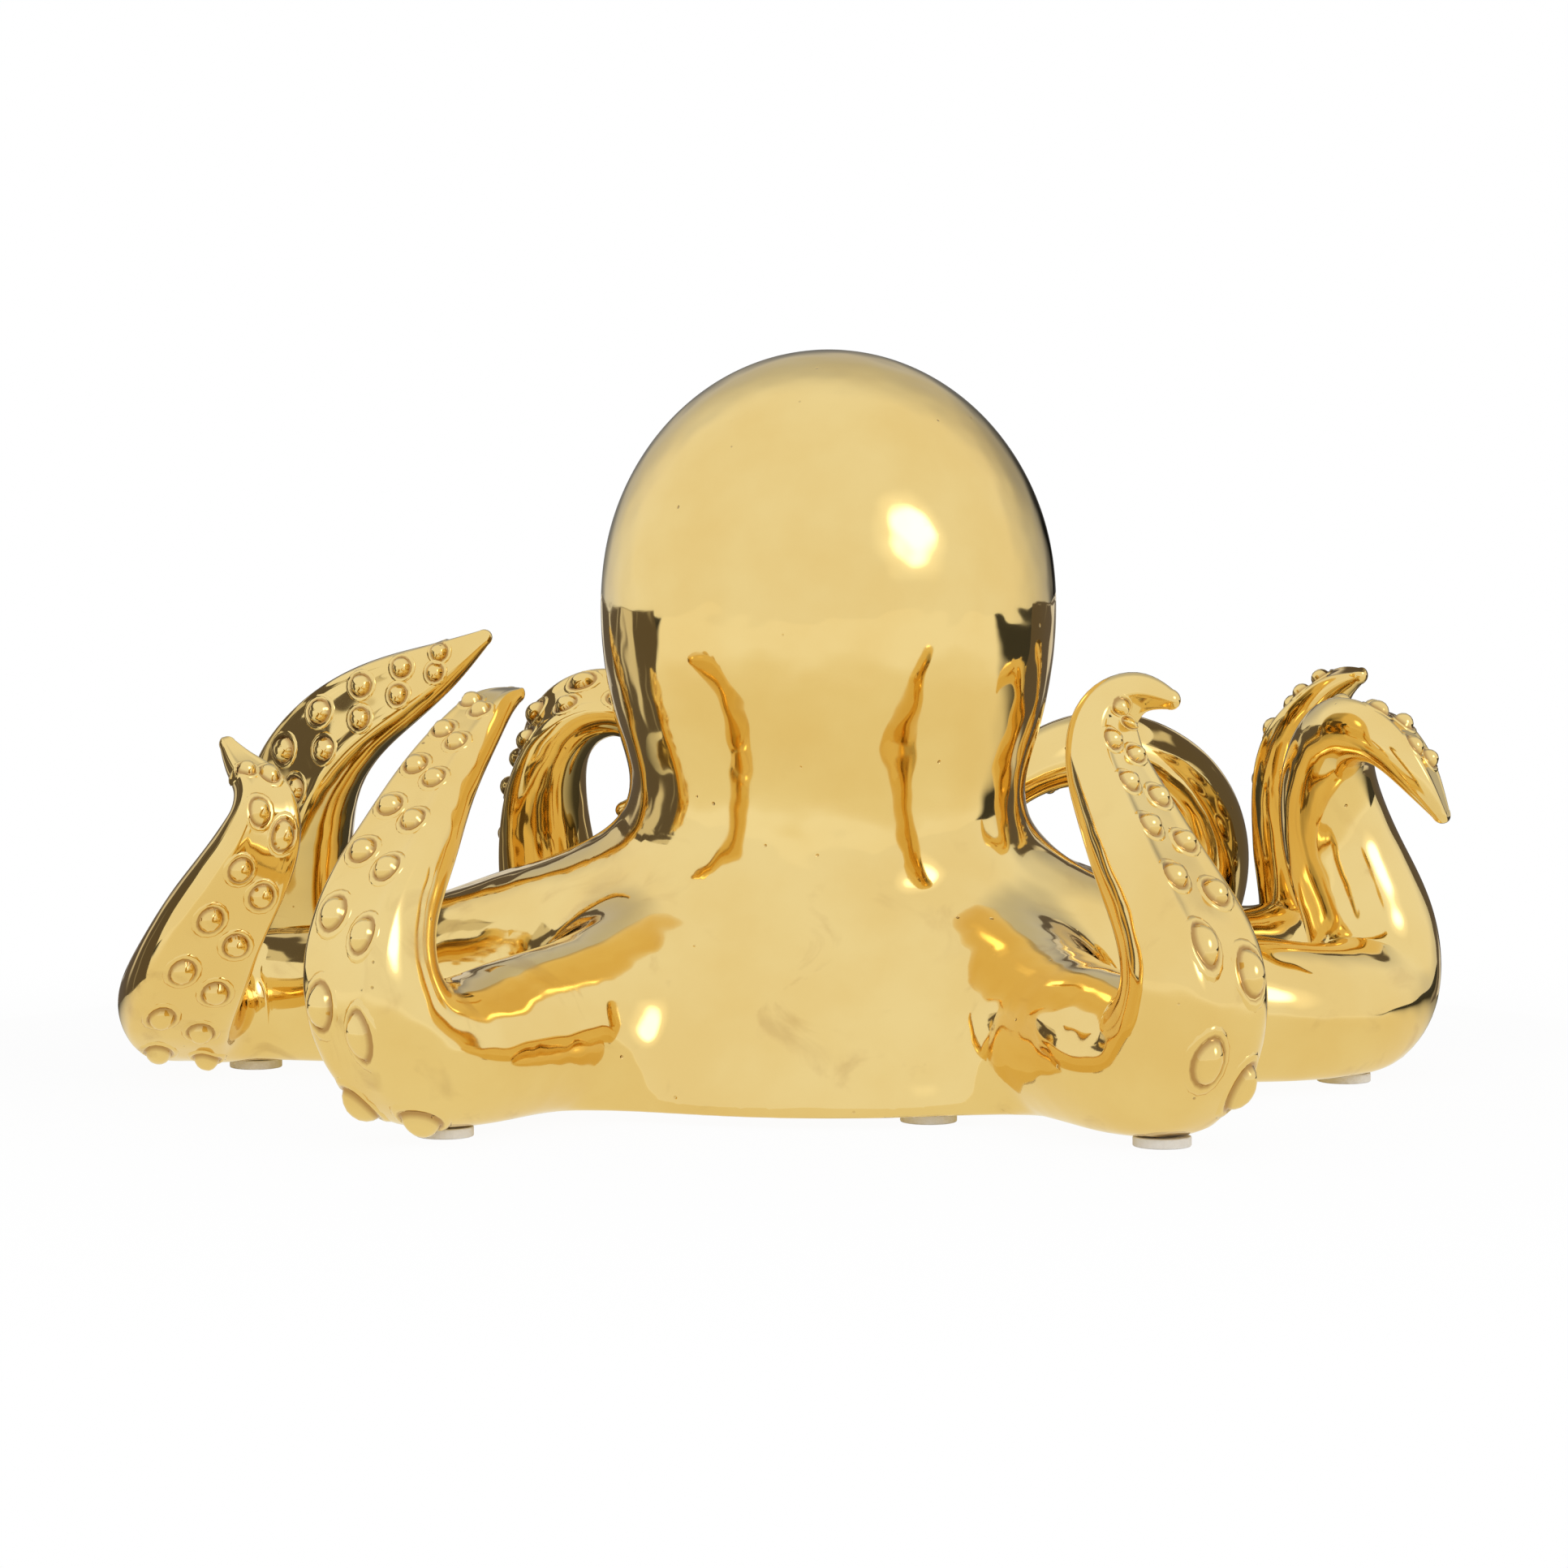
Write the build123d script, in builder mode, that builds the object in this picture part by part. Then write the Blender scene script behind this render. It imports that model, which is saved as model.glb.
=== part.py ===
"""Octopus figurine: a hollow glazed ceramic casting with eight curling arms, standing on round felt pads.

The mantle casting carries the head, the web and the roots of the arms. Each arm is cast by
itself and luted to its root along a flat joint. Lengths are in millimetres and +Z is up.
"""
import os
from math import cos, radians, sin, sqrt

from build123d import *

os.makedirs("parts", exist_ok=True)

# Overall sizes
HEAD_RADIUS = 58.9
HEAD_CENTRE_HEIGHT = 126.0
HEAD_CAP_HEIGHT = 64.6
ARM_SPREAD = 150.0
ARM_RISE = 110.0
ARM_RADIUS = 20.0

# Walls and finer sizes of the castings
WALL = 4.5
SMALLEST_BORE_RADIUS = 5.0
WEB_EDGE_ROUND = 4.0
OVERRUN = 10.0
DRAIN_HOLE_DIAMETER = 12.0
EYE_RADIUS = 9.0
EYE_SPACING = 44.0
EYE_HEIGHT = 96.0
SUCKER_TIP_RADIUS = 1.8

# Pads
PAD_DIAMETER = 14.0
PAD_THICKNESS = 2.4
WEB_PAD_ACROSS = 24.0
WEB_PAD_OUT = 71.0

# Angles that place the middle of an arm's flank and the points of the head's outline
FLANK_ANGLE = 20.0
CAP_STEP_ANGLE = 15

# Shares of the arm radius that shape the arm's section and its suckers. The sucker face opens
# from its narrow share over the pad to its wide share, over a number of sections.
NARROW_RIDGE_SHARE = 0.30
WIDE_RIDGE_SHARE = 0.80
FACE_OPENING_SECTIONS = 5
CROWN_SHARE = 0.04
SUCKER_GROWTH_SHARE = 0.105
SUCKER_ROW_SHARE = 0.35
# The pitch of the suckers along a row and the lag of the second row, as shares of a sucker's radius
SUCKER_PITCH_SHARE = 4.4
SUCKER_LAG_SHARE = 1.3
SUCKER_PROUD_SHARE = 0.45
SECTIONS_PER_STATION = 2
# Where the suckers start past the pad and stop before the tip, in sections
SUCKERS_START_AFTER_PAD = 2
SUCKERS_END_BEFORE_TIP = 4
# The blunt end of a tip, past its last station, as shares of the radius there
TIP_REACH_SHARE = 0.7
TIP_END_SHARE = 0.45
# The lean of the sphere that makes the eye: the part of its radius that lies inside the head
EYE_SUNK_SHARE = 0.55

# The neck and the web below the head, as shares of HEAD_RADIUS and HEAD_CENTRE_HEIGHT
neck_shares = [
    (0.966, 0.814), (0.924, 0.730), (0.875, 0.648), (0.856, 0.563), (0.858, 0.480),
    (0.885, 0.400), (1.000, 0.320), (1.170, 0.240), (1.340, 0.155), (1.440, 0.080),
]

# Each arm's centre line from root to tip: across and back as shares of ARM_SPREAD, height as a
# share of ARM_RISE, and the radius there as a share of ARM_RADIUS
arm_path_shares = {
    "front_left": [
        (-0.25, -0.20, 0.22, 1.50), (-0.39, -0.34, 0.19, 1.20), (-0.52, -0.50, 0.185, 1.00),
        (-0.62, -0.64, 0.175, 0.93), (-0.69, -0.72, 0.23, 0.88), (-0.725, -0.745, 0.35, 0.82),
        (-0.72, -0.72, 0.49, 0.73), (-0.68, -0.655, 0.63, 0.62), (-0.635, -0.575, 0.765, 0.49),
        (-0.585, -0.50, 0.875, 0.37), (-0.55, -0.445, 0.93, 0.26), (-0.52, -0.40, 0.95, 0.13),
    ],
    "left": [
        (-0.28, 0.00, 0.30, 1.60), (-0.45, 0.03, 0.28, 1.38), (-0.60, 0.09, 0.25, 1.18),
        (-0.75, 0.16, 0.21, 1.06), (-0.89, 0.215, 0.175, 0.98), (-1.02, 0.225, 0.165, 0.92),
        (-1.11, 0.15, 0.16, 0.86), (-1.13, 0.03, 0.19, 0.80), (-1.095, -0.065, 0.285, 0.75),
        (-1.045, -0.12, 0.41, 0.67), (-0.985, -0.145, 0.545, 0.57), (-0.96, -0.145, 0.655, 0.45),
        (-0.975, -0.12, 0.72, 0.33), (-1.005, -0.095, 0.765, 0.22), (-1.03, -0.075, 0.81, 0.11),
    ],
    "rear_left": [
        (-0.25, 0.10, 0.31, 1.60), (-0.39, 0.21, 0.29, 1.36), (-0.53, 0.345, 0.27, 1.15),
        (-0.67, 0.465, 0.21, 1.06), (-0.80, 0.56, 0.175, 0.98), (-0.91, 0.62, 0.19, 0.93),
        (-0.975, 0.62, 0.30, 0.89), (-0.99, 0.575, 0.43, 0.85), (-0.975, 0.51, 0.565, 0.80),
        (-0.94, 0.43, 0.70, 0.73), (-0.87, 0.365, 0.82, 0.63), (-0.78, 0.315, 0.905, 0.51),
        (-0.695, 0.27, 0.97, 0.34), (-0.61, 0.225, 1.045, 0.11),
    ],
    "back_left": [
        (-0.13, 0.20, 0.29, 1.60), (-0.215, 0.35, 0.26, 1.30), (-0.30, 0.52, 0.22, 1.06),
        (-0.385, 0.665, 0.17, 0.94), (-0.465, 0.76, 0.215, 0.84), (-0.515, 0.785, 0.355, 0.77),
        (-0.535, 0.77, 0.515, 0.70), (-0.535, 0.73, 0.655, 0.64), (-0.51, 0.69, 0.77, 0.58),
        (-0.45, 0.66, 0.845, 0.52), (-0.38, 0.64, 0.855, 0.46), (-0.315, 0.635, 0.79, 0.38),
        (-0.295, 0.64, 0.685, 0.29), (-0.325, 0.65, 0.615, 0.20), (-0.375, 0.655, 0.585, 0.12),
    ],
    "back_right": [
        (0.10, 0.22, 0.29, 1.60), (0.20, 0.40, 0.25, 1.27), (0.32, 0.56, 0.205, 1.05),
        (0.435, 0.63, 0.175, 0.96), (0.57, 0.69, 0.20, 0.88), (0.665, 0.72, 0.31, 0.81),
        (0.70, 0.715, 0.455, 0.75), (0.675, 0.695, 0.60, 0.69), (0.61, 0.66, 0.69, 0.63),
        (0.52, 0.62, 0.735, 0.57), (0.43, 0.58, 0.725, 0.49), (0.35, 0.55, 0.67, 0.39),
        (0.305, 0.54, 0.59, 0.28), (0.31, 0.54, 0.52, 0.12),
    ],
    "rear_right": [
        (0.26, 0.15, 0.30, 1.60), (0.40, 0.25, 0.27, 1.32), (0.54, 0.355, 0.235, 1.12),
        (0.67, 0.445, 0.195, 1.04), (0.785, 0.52, 0.178, 0.98), (0.875, 0.57, 0.215, 0.93),
        (0.92, 0.595, 0.30, 0.88), (0.915, 0.595, 0.41, 0.83), (0.89, 0.57, 0.54, 0.76),
        (0.868, 0.53, 0.675, 0.67), (0.872, 0.48, 0.80, 0.55), (0.90, 0.43, 0.88, 0.40),
        (0.93, 0.395, 0.925, 0.27), (0.96, 0.365, 0.945, 0.13),
    ],
    "right": [
        (0.28, -0.02, 0.28, 1.55), (0.43, -0.06, 0.27, 1.28), (0.555, -0.09, 0.23, 1.06),
        (0.68, -0.095, 0.195, 1.00), (0.80, -0.055, 0.172, 0.95), (0.90, 0.03, 0.17, 0.92),
        (0.955, 0.11, 0.21, 0.89), (0.965, 0.165, 0.33, 0.86), (0.925, 0.19, 0.49, 0.80),
        (0.89, 0.175, 0.65, 0.69), (0.885, 0.11, 0.78, 0.56), (0.915, 0.015, 0.845, 0.48),
        (0.965, -0.065, 0.82, 0.40), (1.01, -0.105, 0.74, 0.29), (1.045, -0.12, 0.655, 0.13),
    ],
    "front_right": [
        (0.20, -0.20, 0.22, 1.50), (0.32, -0.34, 0.195, 1.20), (0.39, -0.50, 0.185, 1.04),
        (0.455, -0.65, 0.175, 0.98), (0.52, -0.75, 0.18, 0.94), (0.555, -0.80, 0.27, 0.91),
        (0.56, -0.815, 0.38, 0.85), (0.54, -0.785, 0.49, 0.77), (0.50, -0.73, 0.61, 0.68),
        (0.46, -0.67, 0.735, 0.58), (0.435, -0.635, 0.84, 0.48), (0.445, -0.62, 0.925, 0.38),
        (0.485, -0.63, 0.965, 0.27), (0.535, -0.655, 0.955, 0.13),
    ],
}
# How far each sucker face rolls round its arm on the way up, in degrees
arm_rolls = {
    "front_left": 20, "left": 0, "rear_left": 40, "back_left": 50,
    "back_right": 180, "rear_right": 110, "right": 0, "front_right": 14,
}
# The station where each arm is luted to its root, and the one that stands over its pad
joint_stations = {
    "front_left": 2, "left": 3, "rear_left": 3, "back_left": 2,
    "back_right": 2, "rear_right": 2, "right": 3, "front_right": 2,
}
pad_stations = {
    "front_left": 3, "left": 5, "rear_left": 4, "back_left": 3,
    "back_right": 3, "rear_right": 4, "right": 5, "front_right": 4,
}
# The stretch of an arm over which its sucker face rolls, from its start to its end
ROLL_START_SHARE = 0.3
ROLL_END_SHARE = 0.7


def eased(share):
    """A share held between 0 and 1 and smoothed at both ends."""
    share = min(max(share, 0), 1)
    return share * share * (3 - 2 * share)


def arm_frames(name):
    """The place, heading, face direction, radius and ridge share of each section along an arm."""
    shares = arm_path_shares[name]
    points = [Vector(x * ARM_SPREAD, y * ARM_SPREAD, z * ARM_RISE) for x, y, z, _ in shares]
    radii = [girth_share * ARM_RADIUS for *_, girth_share in shares]
    centre_line = Spline(*points)
    stations = [centre_line.param_at_point(point) for point in points]
    sections = []
    face = Vector(0, 0, -1)
    count = SECTIONS_PER_STATION * (len(points) - 1)
    for index in range(count + 1):
        station = min(index // SECTIONS_PER_STATION, len(points) - 2)
        part_way = index / SECTIONS_PER_STATION - station
        parameter = stations[station] + (stations[station + 1] - stations[station]) * part_way
        place = centre_line.position_at(parameter, position_mode=PositionMode.PARAMETER)
        heading = centre_line.tangent_at(parameter, position_mode=PositionMode.PARAMETER)
        radius = radii[station] + (radii[station + 1] - radii[station]) * part_way
        face = (face - heading * face.dot(heading)).normalized()
        rolled = eased((index / count - ROLL_START_SHARE) / (ROLL_END_SHARE - ROLL_START_SHARE))
        rolled_face = face.rotate(Axis((0, 0, 0), heading), arm_rolls[name] * rolled)
        opened = eased((index - SECTIONS_PER_STATION * pad_stations[name]) / FACE_OPENING_SECTIONS)
        ridge_share = NARROW_RIDGE_SHARE + (WIDE_RIDGE_SHARE - NARROW_RIDGE_SHARE) * opened
        sections.append((place, heading, rolled_face, radius, ridge_share))
    place, heading, face, radius, ridge_share = sections[-1]
    place += heading * (TIP_REACH_SHARE * radius)
    sections.append((place, heading, face, TIP_END_SHARE * radius, ridge_share))
    return sections


def arm_profile(section, inset):
    """One section of an arm: a round back, two ridges and a slightly crowned sucker face."""
    place, heading, face, radius, ridge_share = section
    radius -= inset
    ridge_across = radius * ridge_share
    ridge_up = sqrt(radius**2 - ridge_across**2)
    crown_up = ridge_up + radius * CROWN_SHARE
    flank_across = radius * cos(radians(FLANK_ANGLE))
    flank_up = -radius * sin(radians(FLANK_ANGLE))
    with BuildSketch(Plane(place, x_dir=face.cross(heading), z_dir=heading)) as profile:
        with BuildLine():
            ThreePointArc((-ridge_across, ridge_up), (0, crown_up), (ridge_across, ridge_up))
            ThreePointArc((ridge_across, ridge_up), (flank_across, flank_up), (0, -radius))
            ThreePointArc((0, -radius), (-flank_across, flank_up), (-ridge_across, ridge_up))
        make_face()
    return profile.sketch.face()


def sucker_places(sections, first):
    """The centre and radius of each sucker's sphere, in two rows from a section to near the tip."""
    places = []
    for row in (-1, 1):
        walked = first
        while walked < len(sections) - 1 - SUCKERS_END_BEFORE_TIP:
            near, far = sections[int(walked)], sections[int(walked) + 1]
            part_way = walked - int(walked)
            centre, heading, face, radius, ridge_share = (a + (b - a) * part_way for a, b in zip(near, far))
            heading = heading.normalized()
            face = (face - heading * face.dot(heading)).normalized()
            sucker_radius = SUCKER_TIP_RADIUS + radius * SUCKER_GROWTH_SHARE
            lag = SUCKER_LAG_SHARE * sucker_radius if row > 0 else 0
            row_share = min(SUCKER_ROW_SHARE / ridge_share, 1)
            face_up = sqrt(1 - ridge_share**2) + CROWN_SHARE * (1 - row_share**2)
            up = radius * face_up - sucker_radius * (1 - SUCKER_PROUD_SHARE)
            across = heading.cross(face) * (row * SUCKER_ROW_SHARE * radius)
            places.append((centre + across + face * up + heading * lag, sucker_radius))
            walked += SUCKER_PITCH_SHARE * sucker_radius / (far[0] - near[0]).length
    return places


# The mantle: head, neck and web in one hollow casting, with a drain hole underneath
def mantle_section(inset):
    """Half the outline of the head, neck and web beside their axis, drawn in by an inset."""
    top = HEAD_CENTRE_HEIGHT + HEAD_CAP_HEIGHT - inset
    brow = (HEAD_RADIUS - inset, HEAD_CENTRE_HEIGHT)
    neck = [(HEAD_RADIUS * out - inset, HEAD_CENTRE_HEIGHT * up) for out, up in neck_shares]
    base = PAD_THICKNESS + inset
    foot = (neck[-1][0] - WEB_EDGE_ROUND, base)
    cap = [
        (brow[0] * sin(radians(angle)), HEAD_CENTRE_HEIGHT + (top - HEAD_CENTRE_HEIGHT) * cos(radians(angle)))
        for angle in range(0, 91, CAP_STEP_ANGLE)
    ]
    with BuildSketch(Plane.XZ) as section:
        with BuildLine():
            Spline(*cap, tangents=[(1, 0), (0, -1)])
            Spline(brow, *neck, tangents=[(0, -1), (0, -1)])
            Spline(neck[-1], foot, tangents=[(0, -1), (-1, 0)])
            Polyline(foot, (0, base), (0, top))
        make_face()
    return section.sketch


arms = {name: arm_frames(name) for name in arm_path_shares}
joints = {name: SECTIONS_PER_STATION * station for name, station in joint_stations.items()}

with BuildPart() as mantle:
    revolve(mantle_section(0), axis=Axis.Z)
    for name, sections in arms.items():
        loft([arm_profile(section, 0) for section in sections[: joints[name] + 1]], ruled=True)
    for side in (-1, 1):
        eye_out = sqrt(HEAD_RADIUS**2 - (EYE_SPACING / 2) ** 2) - EYE_RADIUS * EYE_SUNK_SHARE
        with Locations((side * EYE_SPACING / 2, eye_out, EYE_HEIGHT)):
            Sphere(EYE_RADIUS)
    revolve(mantle_section(WALL), axis=Axis.Z, mode=Mode.SUBTRACT)
    for name, sections in arms.items():
        bore = [arm_profile(section, WALL) for section in sections[: joints[name] + 1]]
        loft(bore, ruled=True, mode=Mode.SUBTRACT)
    with Locations((0, 0, PAD_THICKNESS)):
        Cylinder(DRAIN_HOLE_DIAMETER / 2, 2 * WALL + OVERRUN, mode=Mode.SUBTRACT)
    split(bisect_by=Plane.XY.offset(PAD_THICKNESS), keep=Keep.TOP)
pieces = {"mantle": mantle.part}

# The arms: each a hollow casting with its suckers, flat at the joint and where its pad sits
for name, sections in arms.items():
    first_sucker = SECTIONS_PER_STATION * pad_stations[name] + SUCKERS_START_AFTER_PAD
    with BuildPart() as suckers:
        for place, radius in sucker_places(sections, first_sucker):
            with Locations(place):
                Sphere(radius)
    free = sections[joints[name] :]
    with BuildPart() as arm:
        loft([arm_profile(section, 0) for section in free], ruled=True)
        bore = [arm_profile(section, WALL) for section in free if section[3] > WALL + SMALLEST_BORE_RADIUS]
        loft(bore, ruled=True, mode=Mode.SUBTRACT)
        split(bisect_by=Plane.XY.offset(PAD_THICKNESS), keep=Keep.TOP)
        add(suckers.part, clean=False)
    pieces[f"arm_{name}"] = arm.part

# The pads: thin round felt discs, one under each arm and one under the web
pad_places = {
    name: sections[SECTIONS_PER_STATION * pad_stations[name]][0] for name, sections in arms.items()
}
pad_places["web"] = Vector(WEB_PAD_ACROSS, -WEB_PAD_OUT, 0)
for name, place in pad_places.items():
    with BuildPart() as pad:
        with BuildSketch(Plane((place.X, place.Y, 0))):
            Circle(PAD_DIAMETER / 2)
        extrude(amount=PAD_THICKNESS)
    pieces[f"pad_{name}"] = pad.part

# The origin is the middle of the footprint box, on the surface that the pads stand on
whole = Compound(list(pieces.values())).bounding_box(optimal=True)
middle = whole.center()
for name, piece in pieces.items():
    seated = piece.moved(Location((-middle.X, -middle.Y, 0)))
    seated.label = name
    print(name, seated.is_valid, [round(solid.volume) for solid in seated.solids()])
    export_step(seated, f"parts/{name}.step")
print("size", whole.size, "axis of the head at", -middle.X, -middle.Y)
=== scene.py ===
"""Octopus figurine in gold-lustre ceramic, dressed over its packed castings and felt pads."""
from math import atan, ceil, cos, pi, radians, sin

import bmesh
import bpy
import numpy as np
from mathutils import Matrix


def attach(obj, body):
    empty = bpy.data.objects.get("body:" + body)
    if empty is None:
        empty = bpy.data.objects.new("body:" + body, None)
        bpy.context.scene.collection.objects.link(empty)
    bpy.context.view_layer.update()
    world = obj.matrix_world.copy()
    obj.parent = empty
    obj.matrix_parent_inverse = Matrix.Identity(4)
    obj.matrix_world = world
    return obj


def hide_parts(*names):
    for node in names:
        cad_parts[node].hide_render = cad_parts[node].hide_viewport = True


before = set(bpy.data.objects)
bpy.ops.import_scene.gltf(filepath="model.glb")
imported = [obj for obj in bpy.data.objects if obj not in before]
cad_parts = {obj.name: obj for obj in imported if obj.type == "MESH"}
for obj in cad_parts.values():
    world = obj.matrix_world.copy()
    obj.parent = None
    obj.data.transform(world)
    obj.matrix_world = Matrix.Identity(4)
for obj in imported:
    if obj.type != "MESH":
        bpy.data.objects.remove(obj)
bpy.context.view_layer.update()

# The mantle is the casting that carries the rest: the head, the neck, the web and the roots of
# the eight arms, slip cast in one hollow piece of ceramic and rounded off wherever two forms run
# together. Its skin is worked out in millimetres from the axis of the head.
MM = 0.001
HEAD_AXIS = np.array((11.71, 2.945, 0.0))
HEAD_RADIUS = 58.9
HEAD_CENTRE_HEIGHT = 126.0
HEAD_CAP_HEIGHT = 64.6
SEAT_HEIGHT = 2.4
SEAT_ROUND = 4.0
DRAIN_RADIUS = 6.0
DRAIN_DEPTH = 12.0
EYE_PLACES = ((-22.0, 49.7, 96.0), (22.0, 49.7, 96.0))
EYE_RADIUS = 9.0
EYE_BLEND = 5.0
BLEND = 26.0
BLEND_FULL_OUT = 86.0
BLEND_END_OUT = 118.0
ROOTS_TOP = 90.0
ROOT_MARGIN = 62.0
DRAIN_ROUND = 1.0

# Each arm's centre line from its root to its tip: its places and its radius, as shares of
# ARM_SCALE.
arm_paths = {
    "front_left": [
        (-0.25, -0.20, 0.22, 1.50), (-0.39, -0.34, 0.19, 1.20), (-0.52, -0.50, 0.185, 1.00),
        (-0.62, -0.64, 0.175, 0.93), (-0.69, -0.72, 0.23, 0.88), (-0.725, -0.745, 0.35, 0.82),
        (-0.72, -0.72, 0.49, 0.73), (-0.68, -0.655, 0.63, 0.62), (-0.635, -0.575, 0.765, 0.49),
        (-0.585, -0.50, 0.875, 0.37), (-0.55, -0.445, 0.93, 0.26), (-0.52, -0.40, 0.95, 0.13),
    ],
    "left": [
        (-0.28, 0.00, 0.30, 1.60), (-0.45, 0.03, 0.28, 1.38), (-0.60, 0.09, 0.25, 1.18),
        (-0.75, 0.16, 0.21, 1.06), (-0.89, 0.215, 0.175, 0.98), (-1.02, 0.225, 0.165, 0.92),
        (-1.11, 0.15, 0.16, 0.86), (-1.13, 0.03, 0.19, 0.80), (-1.095, -0.065, 0.285, 0.75),
        (-1.045, -0.12, 0.41, 0.67), (-0.985, -0.145, 0.545, 0.57), (-0.96, -0.145, 0.655, 0.45),
        (-0.975, -0.12, 0.72, 0.33), (-1.005, -0.095, 0.765, 0.22), (-1.03, -0.075, 0.81, 0.11),
    ],
    "rear_left": [
        (-0.25, 0.10, 0.31, 1.60), (-0.39, 0.21, 0.29, 1.36), (-0.53, 0.345, 0.27, 1.15),
        (-0.67, 0.465, 0.21, 1.06), (-0.80, 0.56, 0.175, 0.98), (-0.91, 0.62, 0.19, 0.93),
        (-0.975, 0.62, 0.30, 0.89), (-0.99, 0.575, 0.43, 0.85), (-0.975, 0.51, 0.565, 0.80),
        (-0.94, 0.43, 0.70, 0.73), (-0.87, 0.365, 0.82, 0.63), (-0.78, 0.315, 0.905, 0.51),
        (-0.695, 0.27, 0.97, 0.34), (-0.61, 0.225, 1.045, 0.11),
    ],
    "back_left": [
        (-0.13, 0.20, 0.29, 1.60), (-0.215, 0.35, 0.26, 1.30), (-0.30, 0.52, 0.22, 1.06),
        (-0.385, 0.665, 0.17, 0.94), (-0.465, 0.76, 0.215, 0.84), (-0.515, 0.785, 0.355, 0.77),
        (-0.535, 0.77, 0.515, 0.70), (-0.535, 0.73, 0.655, 0.64), (-0.51, 0.69, 0.77, 0.58),
        (-0.45, 0.66, 0.845, 0.52), (-0.38, 0.64, 0.855, 0.46), (-0.315, 0.635, 0.79, 0.38),
        (-0.295, 0.64, 0.685, 0.29), (-0.325, 0.65, 0.615, 0.20), (-0.375, 0.655, 0.585, 0.12),
    ],
    "back_right": [
        (0.10, 0.22, 0.29, 1.60), (0.20, 0.40, 0.25, 1.27), (0.32, 0.56, 0.205, 1.05),
        (0.435, 0.63, 0.175, 0.96), (0.57, 0.69, 0.20, 0.88), (0.665, 0.72, 0.31, 0.81),
        (0.70, 0.715, 0.455, 0.75), (0.675, 0.695, 0.60, 0.69), (0.61, 0.66, 0.69, 0.63),
        (0.52, 0.62, 0.735, 0.57), (0.43, 0.58, 0.725, 0.49), (0.35, 0.55, 0.67, 0.39),
        (0.305, 0.54, 0.59, 0.28), (0.31, 0.54, 0.52, 0.12),
    ],
    "rear_right": [
        (0.26, 0.15, 0.30, 1.60), (0.40, 0.25, 0.27, 1.32), (0.54, 0.355, 0.235, 1.12),
        (0.67, 0.445, 0.195, 1.04), (0.785, 0.52, 0.178, 0.98), (0.875, 0.57, 0.215, 0.93),
        (0.92, 0.595, 0.30, 0.88), (0.915, 0.595, 0.41, 0.83), (0.89, 0.57, 0.54, 0.76),
        (0.868, 0.53, 0.675, 0.67), (0.872, 0.48, 0.80, 0.55), (0.90, 0.43, 0.88, 0.40),
        (0.93, 0.395, 0.925, 0.27), (0.96, 0.365, 0.945, 0.13),
    ],
    "right": [
        (0.28, -0.02, 0.28, 1.55), (0.43, -0.06, 0.27, 1.28), (0.555, -0.09, 0.23, 1.06),
        (0.68, -0.095, 0.195, 1.00), (0.80, -0.055, 0.172, 0.95), (0.90, 0.03, 0.17, 0.92),
        (0.955, 0.11, 0.21, 0.89), (0.965, 0.165, 0.33, 0.86), (0.925, 0.19, 0.49, 0.80),
        (0.89, 0.175, 0.65, 0.69), (0.885, 0.11, 0.78, 0.56), (0.915, 0.015, 0.845, 0.48),
        (0.965, -0.065, 0.82, 0.40), (1.01, -0.105, 0.74, 0.29), (1.045, -0.12, 0.655, 0.13),
    ],
    "front_right": [
        (0.20, -0.20, 0.22, 1.50), (0.32, -0.34, 0.195, 1.20), (0.39, -0.50, 0.185, 1.04),
        (0.455, -0.65, 0.175, 0.98), (0.52, -0.75, 0.18, 0.94), (0.555, -0.80, 0.27, 0.91),
        (0.56, -0.815, 0.38, 0.85), (0.54, -0.785, 0.49, 0.77), (0.50, -0.73, 0.61, 0.68),
        (0.46, -0.67, 0.735, 0.58), (0.435, -0.635, 0.84, 0.48), (0.445, -0.62, 0.925, 0.38),
        (0.485, -0.63, 0.965, 0.27), (0.535, -0.655, 0.955, 0.13),
    ],
}
ARM_SCALE = (150.0, 150.0, 110.0, 20.0)

# How far each sucker face rolls round its arm, in degrees, and the stations of the centre line
# where each arm is jointed to its root and where it stands on its pad.
arm_rolls = {
    "front_left": 20, "left": 0, "rear_left": 40, "back_left": 50,
    "back_right": 180, "rear_right": 110, "right": 0, "front_right": 14,
}
joint_stations = {
    "front_left": 2, "left": 3, "rear_left": 3, "back_left": 2,
    "back_right": 2, "rear_right": 2, "right": 3, "front_right": 2,
}
pad_stations = {
    "front_left": 3, "left": 5, "rear_left": 4, "back_left": 3,
    "back_right": 3, "rear_right": 4, "right": 5, "front_right": 4,
}


def ease(values, low, high):
    """A smooth step from 0 at low to 1 at high."""
    share = np.clip((values - low) / (high - low), 0.0, 1.0)
    return share * share * (3.0 - 2.0 * share)


def unit(vectors):
    """Each vector brought to a length of one."""
    return vectors / np.linalg.norm(vectors, axis=-1, keepdims=True)


SEARCH_STEP = 2.5
SEARCH_ROUNDS = 4


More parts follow.
